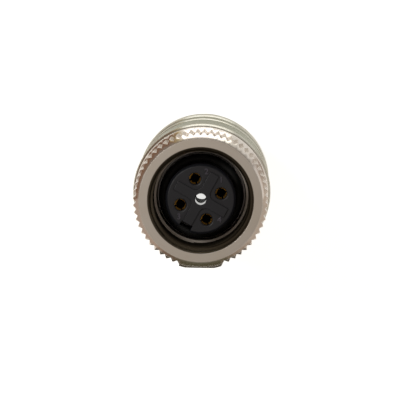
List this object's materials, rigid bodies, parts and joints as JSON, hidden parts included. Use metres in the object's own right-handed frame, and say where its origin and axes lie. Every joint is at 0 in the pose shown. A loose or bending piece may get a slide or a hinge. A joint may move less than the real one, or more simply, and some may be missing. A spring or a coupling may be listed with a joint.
{
  "type": "circular cable connector, female, screw coupling",
  "caption": "Metal circular cable socket: knurled coupling nut with inner thread round a keyed insert with slotted sockets, round housing, and a cable gland with clamp nut.",
  "frame": {"origin": "centre of the clamp nut's rear face, which the plug stands on", "axes": "+Z along the plug's axis, from the cable end to the mating face; the land of the coupling nut faces -Y"},
  "size_m": [0.0178, 0.0178, 0.052],
  "materials": {
    "nickel_bright": "satin nickel plate with a straight knurl",
    "nickel_satin": "turned and nickel plated",
    "steel": "bright",
    "brass": "plain turned",
    "contact_gold": "gold plated",
    "carrier_nylon": "fine moulded",
    "cage_nylon": "moulded",
    "seal_rubber": "smooth"
  },
  "bodies": {
    "plug_body": {"contact_carrier": "carrier_nylon", "contact_1": "contact_gold", "contact_2": "contact_gold", "contact_3": "contact_gold", "contact_4": "contact_gold", "terminal_block": "carrier_nylon", "terminal_screws": "steel", "carrier_collar": "nickel_satin", "body_seal": "seal_rubber", "face_seal": "seal_rubber", "retaining_ring": "steel", "housing_sleeve": "nickel_satin", "shield_ring": "brass", "pressure_washer": "steel", "clamping_cage": "cage_nylon", "cable_seal": "seal_rubber"},
    "slip_ring": {"friction_ring": "steel"},
    "coupling_nut": {"coupling_nut": "nickel_bright"},
    "thrust_ring": {"thrust_ring": "steel"},
    "clamp_nut": {"clamp_nut": "nickel_satin"}
  },
  "joints": [
    {"name": "coupling_nut_play", "type": "slide", "parent": "plug_body", "child": "slip_ring", "axis": [0, 0, 1], "range_m": [0, 0.0008]},
    {"name": "coupling_nut_turn", "type": "hinge", "parent": "slip_ring", "child": "coupling_nut", "pos_m": [0, 0, 0.0458], "axis": [0, 0, 1], "continuous": true},
    {"name": "thrust_ring_slide", "type": "slide", "parent": "plug_body", "child": "thrust_ring", "axis": [0, 0, -1], "range_m": [0, 0.003]},
    {"name": "clamp_nut_turn", "type": "hinge", "parent": "thrust_ring", "child": "clamp_nut", "pos_m": [0, 0, 0.0074], "axis": [0, 0, -1], "range_deg": [0, 1080]}
  ],
  "couplings": [
    {"joint": "thrust_ring_slide", "follows": "clamp_nut_turn", "m_per_rad": 0.00015915}
  ]
}
